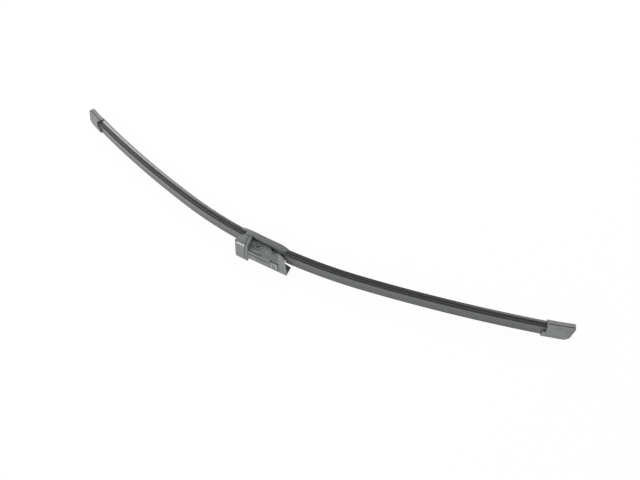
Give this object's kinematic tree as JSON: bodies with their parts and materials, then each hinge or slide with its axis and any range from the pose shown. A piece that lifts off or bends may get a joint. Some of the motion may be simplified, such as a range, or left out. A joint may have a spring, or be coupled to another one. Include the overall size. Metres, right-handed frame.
{
  "type": "wiper blade",
  "caption": "Flat beam windscreen wiper blade with spoiler, rubber lip, end caps and a pivoting push-button arm adapter.",
  "frame": {"origin": "middle of the underside of the box around the blade as it lies on its side", "axes": "+X along the blade, -Y away from the glass (connector side), +Z across the blade, up as it lies"},
  "size_m": [0.5378, 0.0814, 0.0182],
  "materials": {
    "spoiler_plastic": "extruded satin black",
    "cap_plastic": "moulded fine grain black",
    "cover_plastic": "moulded fine grain black",
    "adapter_plastic": "moulded satin black",
    "blade_rubber": "coated matte black",
    "spring_steel": "rolled, oiled",
    "bracket_steel": "stamped, zinc plated",
    "pin_steel": "turned"
  },
  "bodies": {
    "blade": {"spring_rail_near": "spring_steel", "spring_rail_far": "spring_steel", "wiper_rubber": "blade_rubber", "spoiler_left": "spoiler_plastic", "spoiler_right": "spoiler_plastic", "end_cap_left": "cap_plastic", "end_cap_right": "cap_plastic", "connector_bracket": "bracket_steel", "connector_cover": "cover_plastic", "pivot_pin": "pin_steel"},
    "adapter": {"arm_adapter": "adapter_plastic", "latch_spring": "spring_steel"},
    "button": {"latch_button": "adapter_plastic"}
  },
  "joints": [
    {"name": "adapter_pivot", "type": "hinge", "parent": "blade", "child": "adapter", "pos_m": [-0.0013, -0.03118, 0.0091], "axis": [0, 0, 1], "range_deg": [-6, 4.5]},
    {"name": "latch_press", "type": "slide", "parent": "adapter", "child": "button", "axis": [0, 1, 0], "range_m": [0, 0.0016], "stiffness_N_per_m": 1200, "springref_m": -0.001, "deforming": ["latch_spring"]}
  ]
}
